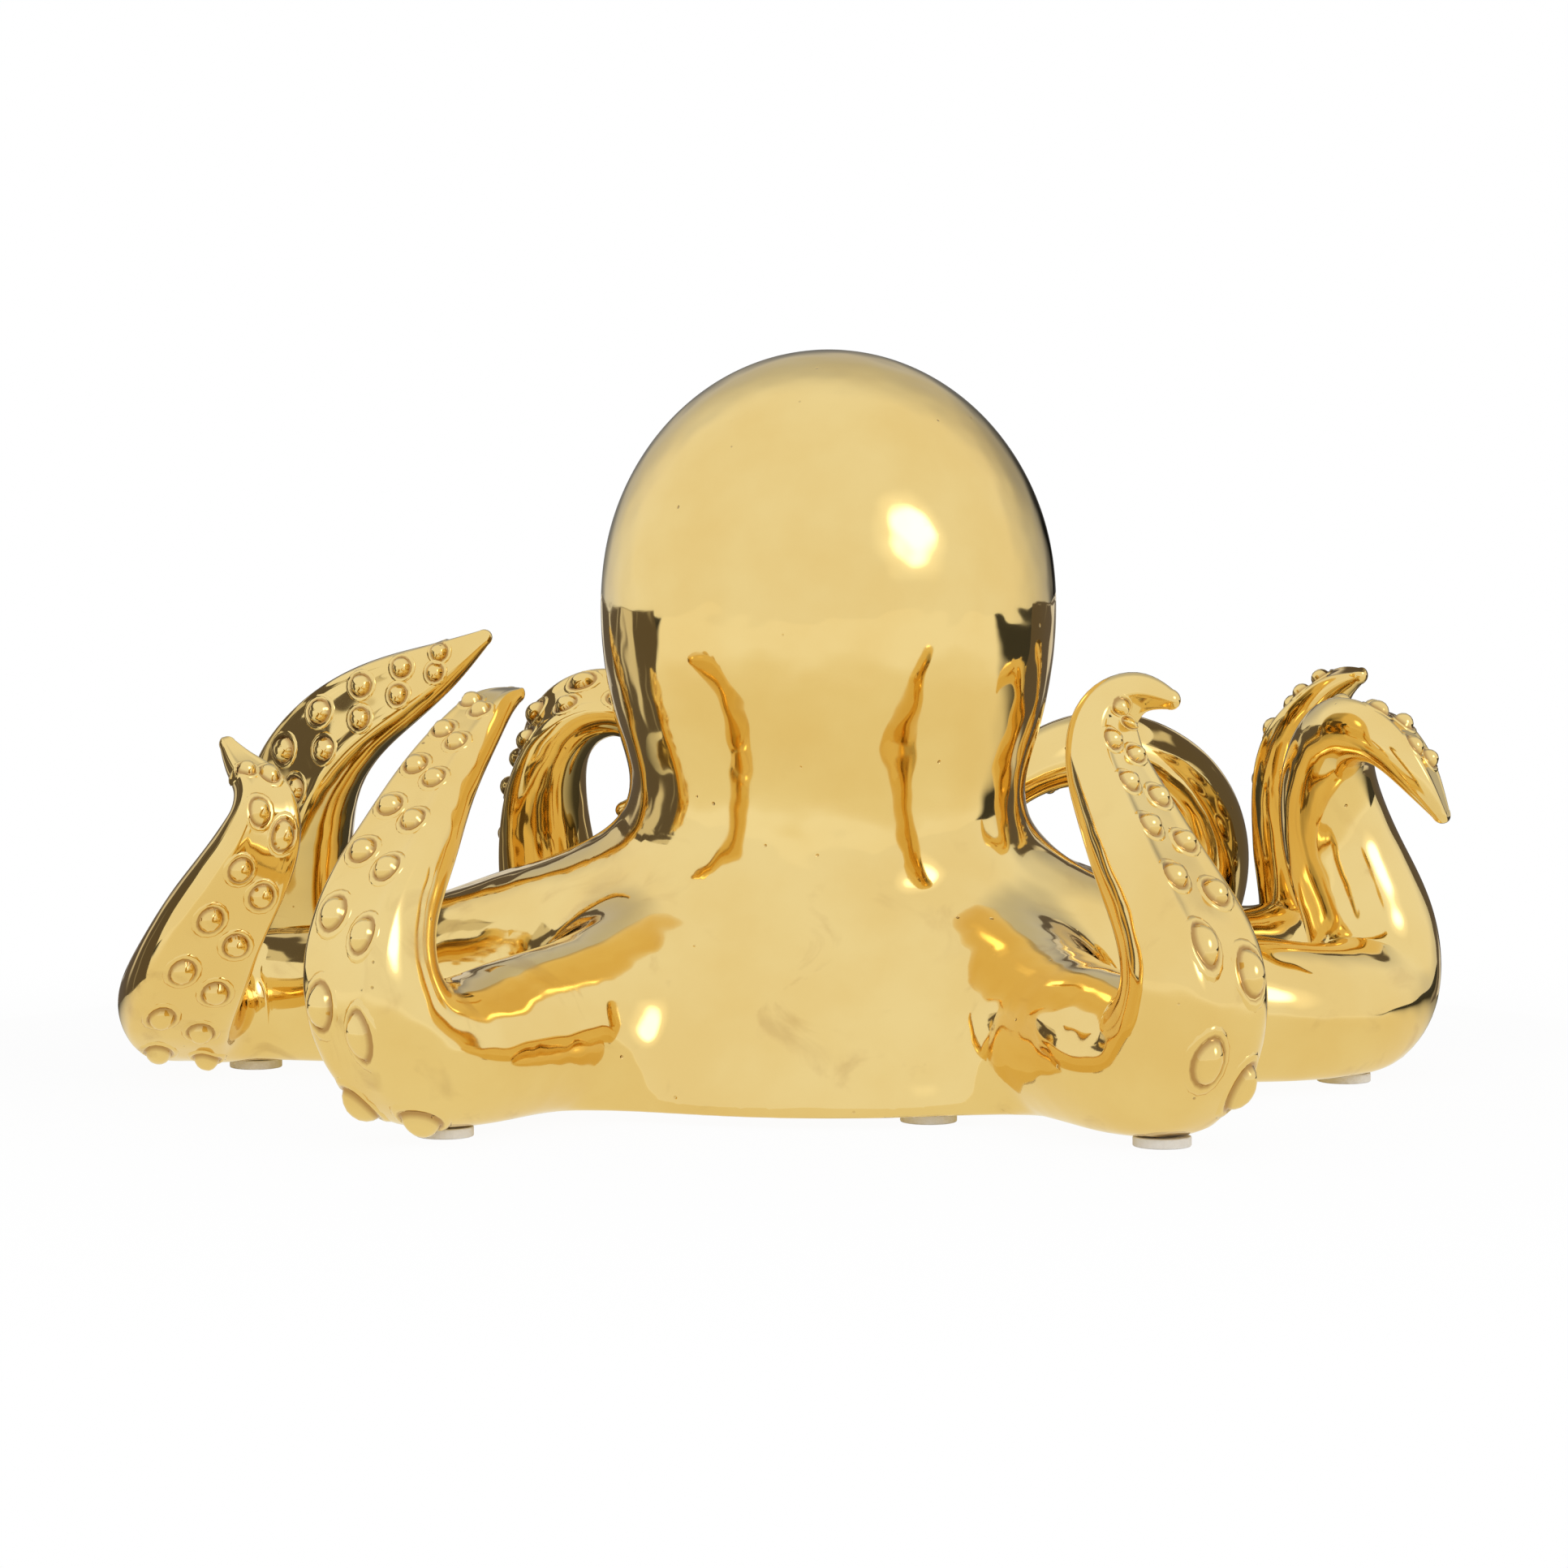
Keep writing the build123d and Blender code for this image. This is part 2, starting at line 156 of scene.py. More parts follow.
class SmoothLine:
    """A line of even curvature through given points, measured along its chords."""

    def __init__(self, points):
        self.points = np.array(points, float)
        run = np.linalg.norm(np.diff(self.points[:, :3], axis=0), axis=1)
        self.stops = np.concatenate(([0.0], np.cumsum(run)))
        count = len(self.points)
        system, right_side = np.eye(count), np.zeros_like(self.points)
        for i in range(1, count - 1):
            system[i, i - 1 : i + 2] = run[i - 1], 2 * (run[i - 1] + run[i]), run[i]
            ahead = (self.points[i + 1] - self.points[i]) / run[i]
            behind = (self.points[i] - self.points[i - 1]) / run[i - 1]
            right_side[i] = 6 * (ahead - behind)
        self.bends = np.linalg.solve(system, right_side)

    def at(self, walked):
        """The values and their slopes at each distance walked along the line."""
        i = np.clip(np.searchsorted(self.stops, walked, side="right") - 1, 0, len(self.stops) - 2)
        run = (self.stops[i + 1] - self.stops[i])[:, None]
        b = (walked - self.stops[i])[:, None] / run
        a = 1 - b
        near, far = self.points[i], self.points[i + 1]
        near_bend, far_bend = self.bends[i], self.bends[i + 1]
        value = a * near + b * far + ((a**3 - a) * near_bend + (b**3 - b) * far_bend) * run**2 / 6
        slope = (far - near) / run + ((1 - 3 * a**2) * near_bend + (3 * b**2 - 1) * far_bend) * run / 6
        return value, slope

    def nearest(self, places, low, high):
        """How far along the line, between low and high, each place is nearest to it."""
        size = places.shape[1]
        tries = np.linspace(low, high, ceil((high - low) / SEARCH_STEP) + 1)
        on_line = self.at(tries)[0][:, :size]
        walked = tries[((on_line**2).sum(1) - 2 * places @ on_line.T).argmin(1)]
        for _ in range(SEARCH_ROUNDS):
            value, slope = self.at(walked)
            slope = slope[:, :size]
            step = ((places - value[:, :size]) * slope).sum(1) / (slope**2).sum(1)
            walked = np.clip(walked + step, low, high)
        return walked


FACE_LEVEL = 0.60
FACE_CORNER = 0.09
FACE_BORDER = 0.045
BORDER_INSET = 7.0
BORDER_WIDTH = 5.0
FACE_STARTS_AFTER_PAD = 4.0
FACE_FULL_AFTER_PAD = 46.0
ROLL_STARTS_AT = 0.3
ROLL_ENDS_AT = 0.7


def girth(angles, level):
    """The skin's distance from an arm's centre line by the angle off its sucker face, as a share
    of the arm's radius."""
    turned = np.abs(angles)
    flat = level / np.maximum(np.cos(turned), 0.2)
    border = np.degrees(turned) - np.degrees(np.arccos(np.minimum(level, 1.0))) + BORDER_INSET
    raised = np.exp(-((border / BORDER_WIDTH) ** 2))
    flat = flat + FACE_BORDER * (1 - level) / (1 - FACE_LEVEL) * raised
    near = np.maximum(FACE_CORNER - np.abs(flat - 1.0), 0.0) / FACE_CORNER
    return np.minimum(flat, 1.0) - near**3 * FACE_CORNER / 6


class Arm:
    """An arm's centre line with the directions of its sucker face along it."""

    def __init__(self, name):
        self.line = SmoothLine(np.array(arm_paths[name]) * ARM_SCALE)
        self.stops = self.line.stops
        self.joint = self.stops[joint_stations[name]]
        self.pad = self.stops[pad_stations[name]]
        self.rooted = self.stops[pad_stations[name] + 2]
        self.length = self.stops[-1]
        self.walked = np.linspace(0.0, self.length, ceil(self.length) + 1)
        headings = unit(self.line.at(self.walked)[1][:, :3])
        faces, face = [], np.array((0.0, 0.0, -1.0))
        for heading in headings:
            face = unit(face - heading * face.dot(heading))
            faces.append(face)
        faces = np.array(faces)
        share = np.interp(self.walked, self.stops, np.linspace(0, 1, len(self.stops)))
        rolled = ease(share, ROLL_STARTS_AT, ROLL_ENDS_AT)
        roll = (np.radians(arm_rolls[name]) * rolled)[:, None]
        self.faces = faces * np.cos(roll) + np.cross(headings, faces) * np.sin(roll)

    def section(self, walked):
        """Centre, heading, face and side directions, radius and face level at each distance walked."""
        value, slope = self.line.at(walked)
        heading = unit(slope[:, :3])
        face = np.stack([np.interp(walked, self.walked, self.faces[:, i]) for i in range(3)], axis=1)
        face = unit(face - heading * (face * heading).sum(1, keepdims=True))
        flattened = ease(walked, self.pad + FACE_STARTS_AFTER_PAD, self.pad + FACE_FULL_AFTER_PAD)
        level = 1.0 - (1.0 - FACE_LEVEL) * flattened
        return value[:, :3], heading, face, np.cross(face, heading), value[:, 3], level

    def outside(self, places):
        """How far each place is outside the arm's skin, from its root to where it leaves the floor."""
        walked = self.line.nearest(places, 0.0, self.rooted)
        centre, _, face, side, radius, level = self.section(walked)
        away = places - centre
        across, up = (away * side).sum(1), (away * face).sum(1)
        return np.sqrt((away**2).sum(1)) - radius * girth(np.arctan2(across, up), level)


arms = {name: Arm(name) for name in arm_paths}
neck_shares = (
    (0.966, 0.814), (0.924, 0.730), (0.875, 0.648), (0.856, 0.563), (0.858, 0.480),
    (0.885, 0.400), (1.000, 0.320), (1.170, 0.240), (1.340, 0.155), (1.440, 0.080),
)
under_floor = [(87.0, -2.0), (88.0, -16.0)]
cap_angles = np.radians(np.arange(-30, 91, 15))
outline = SmoothLine(
    [(HEAD_RADIUS * np.sin(a), HEAD_CENTRE_HEIGHT + HEAD_CAP_HEIGHT * np.cos(a)) for a in cap_angles]
    + [(HEAD_RADIUS * out, HEAD_CENTRE_HEIGHT * up) for out, up in neck_shares]
    + under_floor
)


def joined(first, second, blend):
    """Two forms run together with a fillet: the smaller distance, eased over the blend."""
    near = np.maximum(blend - np.abs(first - second), 0.0) / np.maximum(blend, 1e-6)
    return np.minimum(first, second) - near**3 * blend / 6


def skin(places):
    """How far each place is outside the skin of the mantle and the lower arms."""
    out = np.hypot(places[:, 0], places[:, 1])
    flat_places = np.stack([out, places[:, 2]], axis=1)
    value, slope = outline.at(outline.nearest(flat_places, 0.0, outline.stops[-1]))
    normal = unit(np.stack([-slope[:, 1], slope[:, 0]], axis=1))
    distance = ((flat_places - value) * normal).sum(1)
    for eye in EYE_PLACES:
        distance = joined(distance, np.linalg.norm(places - eye, axis=1) - EYE_RADIUS, EYE_BLEND)
    blend = BLEND * (1 - ease(out, BLEND_FULL_OUT, BLEND_END_OUT))
    low = np.flatnonzero(places[:, 2] < ROOTS_TOP)
    for arm in arms.values():
        reach = arm.section(np.array([0.0, arm.joint, arm.rooted]))[0]
        middle = reach.mean(0)
        size = np.linalg.norm(reach - middle, axis=1).max() + ROOT_MARGIN
        near = low[np.linalg.norm(places[low] - middle, axis=1) < size]
        distance[near] = joined(distance[near], arm.outside(places[near]), blend[near])
    distance = -joined(-distance, places[:, 2] - SEAT_HEIGHT, np.full(len(places), SEAT_ROUND))
    hole = np.maximum(out - DRAIN_RADIUS, places[:, 2] - SEAT_HEIGHT - DRAIN_DEPTH)
    return -joined(-distance, hole, np.full(len(places), DRAIN_ROUND))


def skin_slopes(places):
    """How fast the distance from the skin grows along each axis, which points straight out of it."""
    step = 0.05
    shifts = np.eye(3) * step
    slopes = [(skin(places + shift) - skin(places - shift)) / (2 * step) for shift in shifts]
    return np.stack(slopes, axis=1)


def mesh_arrays(mesh):
    """A mesh's places in millimetres from the head's axis, its triangles and its edges."""
    places = np.empty(len(mesh.vertices) * 3)
    mesh.vertices.foreach_get("co", places)
    mesh.calc_loop_triangles()
    triangles = np.empty(len(mesh.loop_triangles) * 3, int)
    mesh.loop_triangles.foreach_get("vertices", triangles)
    edges = np.empty(len(mesh.edges) * 2, int)
    mesh.edges.foreach_get("vertices", edges)
    return places.reshape(-1, 3) / MM - HEAD_AXIS, triangles.reshape(-1, 3), edges.reshape(-1, 2)


LAID_WITHIN = 0.003
LONGEST_MOVE = 3.0


def laid(places, headings=None):
    """Places moved onto the skin, or along it only across a heading where one is given."""
    loose = np.flatnonzero(np.abs(skin(places)) > LAID_WITHIN)
    for _ in range(3 if len(loose) else 0):
        slope = skin_slopes(places[loose])
        if headings is not None:
            slope = slope - headings[loose] * (slope * headings[loose]).sum(1, keepdims=True)
        step = skin(places[loose]) / np.maximum((slope**2).sum(1), 0.2)
        places[loose] -= slope * np.clip(step, -LONGEST_MOVE, LONGEST_MOVE)[:, None]
    return places


EVENING = 0.6


def settle(mesh, rounds):
    """Evens out a rough mesh over the skin and lays every corner of it on the skin."""
    places, triangles, edges = mesh_arrays(mesh)
    count = len(places)
    corners = triangles.ravel()
    ends = np.concatenate([edges, edges[:, ::-1]])
    meeting = np.bincount(ends[:, 0], minlength=count)[:, None]
    for _ in range(rounds):
        a, b, c = (places[triangles[:, i]] for i in range(3))
        tilt = np.cross(b - a, c - a)
        normal = [np.bincount(corners, np.repeat(tilt[:, i], 3), count) for i in range(3)]
        normal = unit(np.stack(normal, axis=1) + 1e-9)
        around = [np.bincount(ends[:, 0], places[ends[:, 1], i], count) for i in range(3)]
        pull = np.stack(around, axis=1) / meeting - places
        places = places + EVENING * (pull - normal * (pull * normal).sum(1, keepdims=True))
        places = places - normal * np.clip(skin(places), -1.0, 1.0)[:, None]
    mesh.vertices.foreach_set("co", ((laid(places) + HEAD_AXIS) * MM).ravel())
    mesh.update()


def to_scene(name, bm):
    """A bmesh made into an object of the scene."""
    mesh = bpy.data.meshes.new(name)
    bm.to_mesh(mesh)
    bm.free()
    piece = bpy.data.objects.new(name, mesh)
    bpy.context.scene.collection.objects.link(piece)
    return piece


def grid_turns(rows, columns):
    """The row and the angle round the form of each corner of a wrapped grid."""
    along = np.repeat(np.arange(rows), columns + 1)
    around = np.tile(np.arange(columns + 1), rows) * (2 * pi / columns)
    return along, around


def ring(angles, side, face):
    """The direction at each angle round an arm, from its sucker face towards its side."""
    return side * np.sin(angles)[:, None] + face * np.cos(angles)[:, None]


def half_turned(angles):
    """Angles brought between minus and plus half a turn."""
    return (angles + pi) % (2 * pi) - pi


def wrap(bm, rows, columns, places):
    """A grid laid round a form: rows run along it and columns close round it."""
    grid = bmesh.ops.create_grid(bm, x_segments=columns, y_segments=rows - 1, size=0.5)["verts"]
    grid.sort(key=lambda vert: (round((vert.co.y + 0.5) * (rows - 1)), vert.co.x))
    for vert, place in zip(grid, places):
        vert.co = (place + HEAD_AXIS) * MM
    bmesh.ops.remove_doubles(bm, verts=grid, dist=1e-6)


CROWN_STOP = 2
FOOT_RADIUS = 84.0
PROFILE_POINTS = 120
PROFILE_STEPS = 96
ROOT_COLUMNS = 48
ROOT_ROW_STEP = 4.0
STUB = 9.0
rough = bmesh.new()
profile = outline.at(np.linspace(outline.stops[CROWN_STOP], outline.stops[-2], PROFILE_POINTS))[0]
profile = [(max(out, 0.0), up) for out, up in profile if up > SEAT_HEIGHT + 0.5]
profile += [
    (FOOT_RADIUS, SEAT_HEIGHT), (DRAIN_RADIUS, SEAT_HEIGHT),
    (DRAIN_RADIUS, SEAT_HEIGHT + DRAIN_DEPTH), (0.0, SEAT_HEIGHT + DRAIN_DEPTH),
]
corners = [rough.verts.new((HEAD_AXIS + (out, 0, up)) * MM) for out, up in profile]
lines = [rough.edges.new(pair) for pair in zip(corners, corners[1:])]
bmesh.ops.spin(
    rough, geom=corners + lines, cent=HEAD_AXIS * MM, axis=(0, 0, 1), angle=2 * pi,
    steps=PROFILE_STEPS, use_merge=True,
)
bmesh.ops.remove_doubles(rough, verts=rough.verts, dist=1e-6)
for arm in arms.values():
    rows = ceil((arm.joint + STUB) / ROOT_ROW_STEP) + 1
    along, around = grid_turns(rows, ROOT_COLUMNS)
    centre, _, face, side, radius, level = arm.section(np.linspace(0.0, arm.joint + STUB, rows)[along])
    reach = radius * girth(half_turned(around), level)
    places = centre + ring(around, side, face) * reach[:, None]
    places[:, 2] = np.maximum(places[:, 2], SEAT_HEIGHT)
    wrap(rough, rows, ROOT_COLUMNS, places)
bmesh.ops.holes_fill(rough, edges=[edge for edge in rough.edges if edge.is_boundary], sides=0)
bmesh.ops.recalc_face_normals(rough, faces=rough.faces)
mantle = to_scene("mantle_skin", rough)

# The rough form becomes one closed skin: remeshed ever finer, and each time evened and laid.
SKIN_STEP = 1.7
for grain, rounds in ((3.2, 5), (2.4, 5), (SKIN_STEP, 10)):
    remesh = mantle.modifiers.new("remesh", "REMESH")
    remesh.mode = "VOXEL"
    remesh.voxel_size = grain * MM
    bpy.context.view_layer.update()
    evened = bpy.data.meshes.new_from_object(mantle.evaluated_get(bpy.context.evaluated_depsgraph_get()))
    mantle.modifiers.clear()
    mantle.data = evened
    settle(evened, rounds)
evened.name = "mantle_skin"

# The arms' stubs are cut off at their joints, and each cut is closed by a cap sunk into the root.
JOINT_REACH = 26.0
OWN_WITHIN = 6.0
NEARER_BY = 1.5
ON_CUT = 0.1
CAP_SUNK = 10.0
trimmed = bmesh.new()
trimmed.from_mesh(evened)
for arm in arms.values():
    centre, heading, _, _, radius, _ = (part[0] for part in arm.section(np.array([arm.joint])))
    centres = np.array([facet.calc_center_median() for facet in trimmed.faces]) / MM - HEAD_AXIS
    near_joint = np.linalg.norm(centres - centre, axis=1) < radius + JOINT_REACH
    past = np.flatnonzero(((centres - centre) @ heading > -2 * SKIN_STEP) & near_joint)
    own = arm.outside(centres[past])
    others = [other.outside(centres[past]) for other in arms.values() if other is not arm]
    in_stub = (own < OWN_WITHIN) & (own < np.min(others, axis=0) - NEARER_BY)
    trimmed.faces.ensure_lookup_table()
    stub = [trimmed.faces[i] for i in past[in_stub]]
    edges = list({edge for facet in stub for edge in facet.edges})
    verts = list({vert for facet in stub for vert in facet.verts})
    bmesh.ops.bisect_plane(
        trimmed, geom=verts + edges + stub, dist=1e-7, plane_co=(centre + HEAD_AXIS) * MM,
        plane_no=heading, clear_outer=True,
    )
    rim = {vert for edge in trimmed.edges if edge.is_boundary for vert in edge.verts}
    rim = [(vert, np.array(vert.co) / MM - HEAD_AXIS - centre) for vert in rim]
    rim = [
        vert for vert, away in rim
        if abs(away.dot(heading)) < ON_CUT and np.linalg.norm(away) < radius + JOINT_REACH
    ]
    places = np.array([vert.co for vert in rim]) / MM - HEAD_AXIS
    for vert, place in zip(rim, laid(places, np.tile(heading, (len(places), 1)))):
        vert.co = (place + HEAD_AXIS) * MM

# Crumbs that a cut leaves loose are deleted: only the largest connected piece stays.
unseen = set(trimmed.verts)
islands = []
while unseen:
    island, to_visit = [], [unseen.pop()]
    while to_visit:
        vert = to_visit.pop()
        island.append(vert)
        for edge in vert.link_edges:
            other = edge.other_vert(vert)
            if other in unseen:
                unseen.remove(other)
                to_visit.append(other)
    islands.append(island)
islands.sort(key=len)
bmesh.ops.delete(trimmed, geom=[vert for island in islands[:-1] for vert in island], context="VERTS")
rims = [edge for edge in trimmed.edges if edge.is_boundary]
caps = bmesh.ops.holes_fill(trimmed, edges=rims, sides=0)["faces"]
bmesh.ops.recalc_face_normals(trimmed, faces=trimmed.faces)
bmesh.ops.poke(trimmed, faces=caps, offset=-CAP_SUNK * MM, center_mode="MEAN")
for facet in trimmed.faces:
    facet.smooth = True
trimmed.to_mesh(evened)
trimmed.free()

# The shading follows the skin itself, so that no facet shows in the mirror finish.
normals = unit(skin_slopes(mesh_arrays(evened)[0]))
corner_verts = np.empty(len(evened.loops), int)
evened.loops.foreach_get("vertex_index", corner_verts)
evened.normals_split_custom_set(normals[corner_verts].tolist())


def nodes_of(material):
    """A new material's node tree, emptied, with a new output."""
    material.use_nodes = True
    tree = material.node_tree
    tree.nodes.clear()
    return tree, tree.nodes.new("ShaderNodeOutputMaterial")


def add_node(tree, kind, settings=(), **inputs):
    """A node with its settings, and its inputs by name, or by number after an underscore, given as
    values or as the sockets that feed them."""
    node = tree.nodes.new(kind)
    for key, value in settings:
        setattr(node, key, value)
    for key, value in inputs.items():
        socket = node.inputs[int(key[1:])] if key[0] == "_" else node.inputs[key.replace("_", " ")]
        if isinstance(value, bpy.types.NodeSocket):
            tree.links.new(value, socket)
        else:
            socket.default_value = value
    return node


def math_node(tree, operation, first, second):
    """The value of two sockets or numbers worked together."""
    node = add_node(tree, "ShaderNodeMath", [("operation", operation)], _0=first, _1=second)
    return node.outputs["Value"]


def product(tree, first, second):
    """One value times another."""
    return math_node(tree, "MULTIPLY", first, second)


def rest_of(tree, value, whole=1.0):
    """What is left of a whole once a value is taken from it."""
    return math_node(tree, "SUBTRACT", whole, value)


def stepped(tree, value, low, high, level=1.0):
    """A socket eased from 0 at low to a level at high."""
    node = add_node(
        tree, "ShaderNodeMapRange", [("interpolation_type", "SMOOTHSTEP")],
        Value=value, From_Min=low, From_Max=high, To_Max=level,
    )
    return node.outputs["Result"]


def noise(tree, vector, scale, detail, distortion=0.0):
    """A cloudy value between 0 and 1 through the solid."""
    node = add_node(
        tree, "ShaderNodeTexNoise", Vector=vector, Scale=scale, Detail=detail, Distortion=distortion
    )
    return node.outputs["Fac"]


def mixed(tree, share, first, second):
    """A colour between two others, each given as a value or as the socket that feeds it."""
    node = add_node(tree, "ShaderNodeMix", [("data_type", "RGBA")], _0=share, _6=first, _7=second)
    return node.outputs[2]


# The glaze under the lustre waves a little. The lustre is clouded, specked and finely scratched,
# and stained and rubbed low down; painted shade turns it brown in each crease and sucker groove.
GOLD_DEEP = (0.83, 0.60, 0.22, 1)
GOLD_PALE = (0.87, 0.665, 0.275, 1)
# This brown is that of the stains and specks, and also of the painted shade in crease and sucker groove.
GLAZE_BROWN_AND_SHADE = (0.36, 0.17, 0.05, 1)
GLAZE_UNEVENNESS = 0.0018
glaze = bpy.data.node_groups.new("glaze_wear_and_shade", "ShaderNodeTree")
glaze.interface.new_socket("Vector", in_out="INPUT", socket_type="NodeSocketVector")
glaze.interface.new_socket("Color", in_out="OUTPUT", socket_type="NodeSocketColor")
glaze.interface.new_socket("Roughness", in_out="OUTPUT", socket_type="NodeSocketFloat")
glaze.interface.new_socket("Height", in_out="OUTPUT", socket_type="NodeSocketFloat")
entry = glaze.nodes.new("NodeGroupInput").outputs["Vector"]
result = glaze.nodes.new("NodeGroupOutput")
clouds = noise(glaze, entry, 28.0, 4.0)
height_up = add_node(glaze, "ShaderNodeSeparateXYZ", Vector=entry).outputs["Z"]
low_down = rest_of(glaze, stepped(glaze, height_up, 0.03, 0.10))
stains = product(glaze, stepped(glaze, noise(glaze, entry, 46.0, 7.0, 1.4), 0.56, 0.74), low_down)
cells = add_node(glaze, "ShaderNodeTexVoronoi", Vector=entry, Scale=230.0)
cell_draw = add_node(glaze, "ShaderNodeSeparateColor", Color=cells.outputs["Color"]).outputs["Red"]
specks = rest_of(glaze, stepped(glaze, cells.outputs["Distance"], 0.05, 0.13))
specks = product(glaze, specks, stepped(glaze, cell_draw, 0.93, 0.96))
strokes = add_node(
    glaze, "ShaderNodeMapping", Vector=entry, Rotation=(0.3, 0.5, 0.9), Scale=(40.0, 420.0, 420.0)
)
hairs = stepped(glaze, noise(glaze, strokes.outputs["Vector"], 1.0, 3.0, 0.6), 0.66, 0.72)
hairs = product(glaze, hairs, stepped(glaze, clouds, 0.48, 0.60))
golds = mixed(glaze, stepped(glaze, clouds, 0.3, 0.7), GOLD_DEEP, GOLD_PALE)
# The stains and specks are real; painted shade in the hollows is joined to them below.
marks_and_shade = math_node(glaze, "MAXIMUM", product(glaze, stains, 0.22), product(glaze, specks, 0.5))
# Painted shade: the lustre turns brown where the skin is hollow and in the ring groove of each sucker.
pointed = glaze.nodes.new("ShaderNodeNewGeometry").outputs["Pointiness"]
painted_crease_shade = rest_of(glaze, stepped(glaze, pointed, 0.40, 0.485, 0.85), 0.85)
grooved = add_node(glaze, "ShaderNodeAttribute", [("attribute_name", "groove")]).outputs["Fac"]
painted_hollow_shade = math_node(glaze, "MAXIMUM", painted_crease_shade, product(glaze, grooved, 0.9))
marks_and_shade = math_node(glaze, "MAXIMUM", marks_and_shade, painted_hollow_shade)
glaze.links.new(mixed(glaze, marks_and_shade, golds, GLAZE_BROWN_AND_SHADE), result.inputs["Color"])
dull = math_node(glaze, "ADD", product(glaze, stains, 0.13), product(glaze, hairs, 0.06))
dull = math_node(glaze, "ADD", dull, product(glaze, specks, 0.2))
dull = math_node(glaze, "ADD", dull, stepped(glaze, clouds, 0.35, 0.75, 0.03))
glaze.links.new(math_node(glaze, "ADD", dull, 0.05), result.inputs["Roughness"])
low_waves = rest_of(glaze, stepped(glaze, height_up, 0.07, 0.14, 0.75))
height = product(glaze, noise(glaze, entry, 30.0, 1.0), low_waves)
height = math_node(glaze, "ADD", height, product(glaze, noise(glaze, entry, 75.0, 1.0), 0.28))
height = rest_of(glaze, product(glaze, specks, 0.12), height)
glaze.links.new(height, result.inputs["Height"])

lustre = bpy.data.materials.new("gold_lustre")
tree, output = nodes_of(lustre)
# The glaze group gives the lustre its colour, painted shade included, its roughness and its waves.
wear_and_shade = tree.nodes.new("ShaderNodeGroup")
wear_and_shade.node_tree = glaze
tree.links.new(tree.nodes.new("ShaderNodeTexCoord").outputs["Object"], wear_and_shade.inputs["Vector"])
bump = add_node(tree, "ShaderNodeBump", Distance=GLAZE_UNEVENNESS, Height=wear_and_shade.outputs["Height"])
shader = add_node(
    tree, "ShaderNodeBsdfPrincipled", Base_Color=wear_and_shade.outputs["Color"], Metallic=1.0,
    Roughness=wear_and_shade.outputs["Roughness"], Normal=bump.outputs["Normal"],
)
tree.links.new(shader.outputs["BSDF"], output.inputs["Surface"])
mantle.data.materials.clear()
mantle.data.materials.append(lustre)
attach(mantle, "root")
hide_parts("mantle")

# The arms are eight hollow ceramic castings, each luted to its root along a flat joint and curled
# upwards. The inner side is flattened and bordered, and carries two rows of round suckers, which
# come out of the mould with the arm.
ROW_STEP = 1.3
COLUMNS = 96
TIP_ROWS = 7
TIP_LENGTH_SHARE = 1.1
SUCKER_STEPS = 16
GROOVE_WIDTH = 0.2
SUCKERS_START_AFTER_PAD = 9.0
SUCKERS_END_BEFORE_TIP = 14.0
SUCKER_LEAST = 1.8
SUCKER_GROWTH = 0.105
SUCKER_PITCH_SHARE = 4.4
ROW_LAG_SHARE = 1.3
ROW_OUT_SHARE = 0.35
OVER_FLOOR = 0.4

# One sucker is spun from its outline, in shares of its size, and every other repeats its corners.
sucker_profile = [
    (0.0, 0.94), (0.33, 0.88), (0.62, 0.69), (0.83, 0.42), (0.94, 0.12), (1.05, 0.0),
    (1.20, 0.13), (1.34, 0.10), (1.52, -0.015), (1.52, -0.45),
]
master = bmesh.new()
corners = [master.verts.new((out, 0, up)) for out, up in sucker_profile]
lines = [master.edges.new(pair) for pair in zip(corners, corners[1:])]
bmesh.ops.spin(
    master, geom=corners + lines, cent=(0, 0, 0), axis=(0, 0, 1), angle=2 * pi,
    steps=SUCKER_STEPS, use_merge=True,
)
bmesh.ops.remove_doubles(master, verts=master.verts, dist=1e-5)
bmesh.ops.holes_fill(master, edges=[edge for edge in master.edges if edge.is_boundary], sides=0)
bmesh.ops.recalc_face_normals(master, faces=master.faces)
master.verts.index_update()
sucker_corners = np.array([vert.co for vert in master.verts])
sucker_faces = [[vert.index for vert in face.verts] for face in master.faces]
master.free()
# How near each corner lies to the sucker's ring groove, where the lustre is browned as painted shade.
from_groove = np.abs(np.hypot(sucker_corners[:, 0], sucker_corners[:, 1]) - 1.0)
sucker_depths = ease(1.0 - from_groove / GROOVE_WIDTH, 0.0, 1.0)

FACE_ROUNDS = 12
CAP_CORNERS = 9


def on_face(arm, walked, across):
    """Places on an arm's sucker face, by the distance along and the distance across it."""
    centre, _, face, side, radius, level = arm.section(walked)
    share, up = across / radius, level
    for _ in range(FACE_ROUNDS):
        rise = girth(np.arctan2(share, up), level) ** 2 - share**2
        up = (up + np.sqrt(np.maximum(rise, 0.0))) / 2
    return centre + side * across[:, None] + face * (up * radius)[:, None]


def smooth_but_caps(bm):
    """Shades a mesh smooth apart from its flat caps, which are the faces with many corners."""
    for face in bm.faces:
        face.smooth = len(face.verts) < CAP_CORNERS


